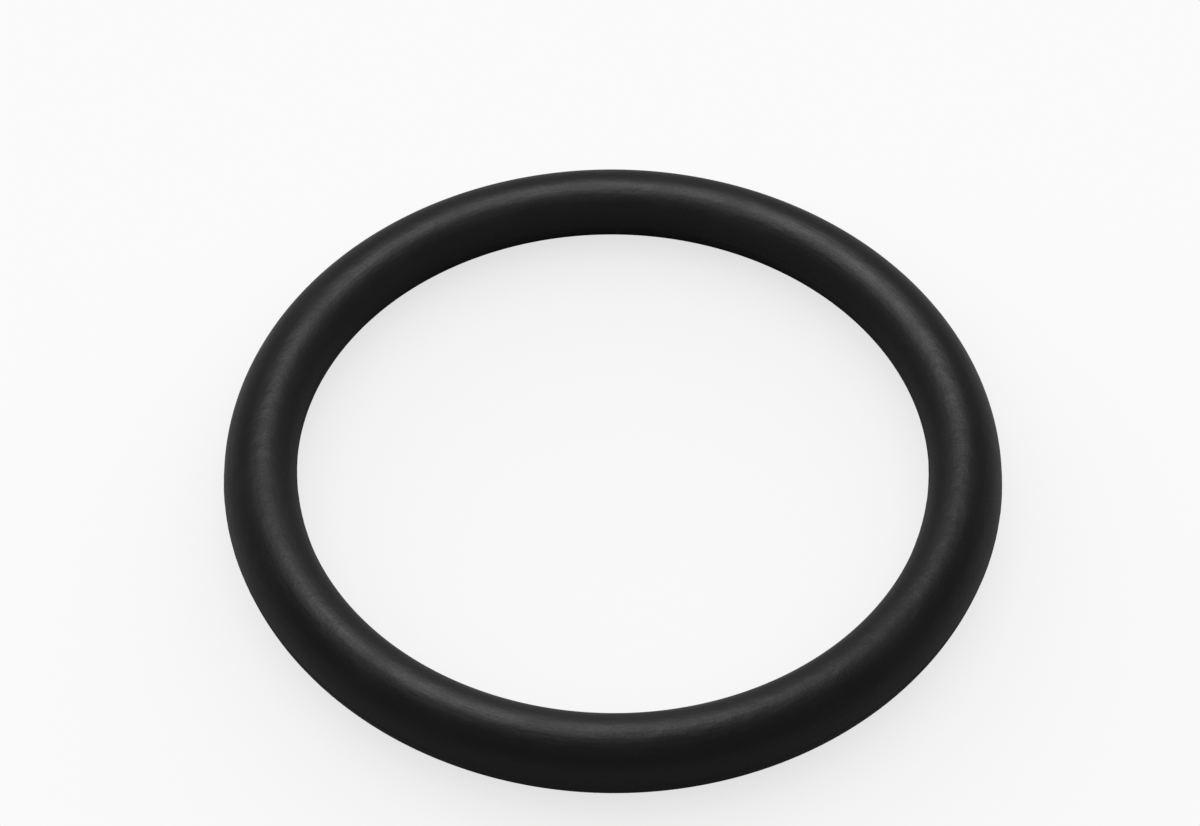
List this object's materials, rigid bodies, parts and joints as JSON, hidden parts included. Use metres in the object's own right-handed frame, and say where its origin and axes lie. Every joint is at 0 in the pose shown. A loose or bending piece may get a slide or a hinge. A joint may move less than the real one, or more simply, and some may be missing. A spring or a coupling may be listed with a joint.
{
  "type": "o-ring",
  "caption": "Moulded black rubber ring of round section that seals between a shaft and its bore, or under a flat cover.",
  "frame": {"origin": "centre of the ring, on its axis and halfway up its round section", "axes": "+Z along the ring's axis; X and Y lie in the plane of the mould's parting line and are alike"},
  "size_m": [0.0578, 0.0578, 0.0054],
  "materials": {
    "rubber": "satin moulded nitrile rubber with faint tool lines along the ring"
  },
  "bodies": {
    "root": {"o_ring": "rubber"}
  },
  "joints": []
}
